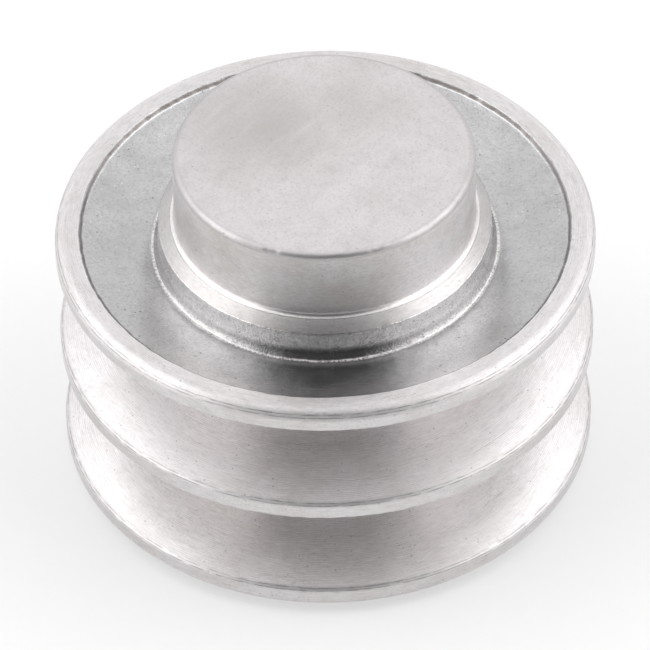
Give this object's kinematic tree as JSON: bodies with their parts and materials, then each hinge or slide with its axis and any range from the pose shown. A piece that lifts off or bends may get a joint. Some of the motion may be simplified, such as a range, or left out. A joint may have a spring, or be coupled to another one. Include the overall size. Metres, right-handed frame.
{
  "type": "v belt pulley",
  "caption": "Cast aluminium V-belt pulley with V grooves round its rim, a dished web and a closed raised hub, free-running on sealed ball bearings round a tapped axle bush.",
  "frame": {"origin": "on the pulley's axis, in the plane of the rear collar's end face, where the bracket goes", "axes": "+Z along the axis, from the bracket towards the closed hub; X and Y are any pair across it"},
  "size_m": [0.085, 0.085, 0.0592],
  "materials": {
    "cast_aluminium": "sand-cast skin on the web and base, turned elsewhere",
    "bearing_steel": "ground and polished",
    "seal_rubber": "moulded, satin",
    "cage_nylon": "moulded nylon",
    "axle_steel": "turned steel",
    "plated_steel": "bright zinc plate",
    "spring_steel": "phosphated, oiled"
  },
  "bodies": {
    "axle": {"axle_bush": "axle_steel", "front_bearing_inner_ring": "bearing_steel", "rear_bearing_inner_ring": "bearing_steel", "inner_spacer_sleeve": "axle_steel", "rear_collar": "plated_steel", "axle_snap_ring": "spring_steel"},
    "pulley": {"pulley_casting": "cast_aluminium", "outer_spacer_ring": "axle_steel", "housing_circlip": "spring_steel", "dust_shield": "plated_steel", "front_bearing_outer_ring": "bearing_steel", "front_bearing_front_seal": "seal_rubber", "front_bearing_rear_seal": "seal_rubber", "rear_bearing_outer_ring": "bearing_steel", "rear_bearing_front_seal": "seal_rubber", "rear_bearing_rear_seal": "seal_rubber"},
    "front_cage": {"front_bearing_cage": "cage_nylon", "front_bearing_balls": "bearing_steel"},
    "rear_cage": {"rear_bearing_cage": "cage_nylon", "rear_bearing_balls": "bearing_steel"}
  },
  "joints": [
    {"name": "pulley_spin", "type": "hinge", "parent": "axle", "child": "pulley", "pos_m": [0, 0, 0.03], "axis": [0, 0, 1], "continuous": true},
    {"name": "front_cage_spin", "type": "hinge", "parent": "axle", "child": "front_cage", "pos_m": [0, 0, 0.0457], "axis": [0, 0, 1], "continuous": true},
    {"name": "rear_cage_spin", "type": "hinge", "parent": "axle", "child": "rear_cage", "pos_m": [0, 0, 0.0147], "axis": [0, 0, 1], "continuous": true}
  ],
  "couplings": [
    {"joint": "front_cage_spin", "follows": "pulley_spin", "ratio": 0.61906},
    {"joint": "rear_cage_spin", "follows": "pulley_spin", "ratio": 0.61906}
  ]
}
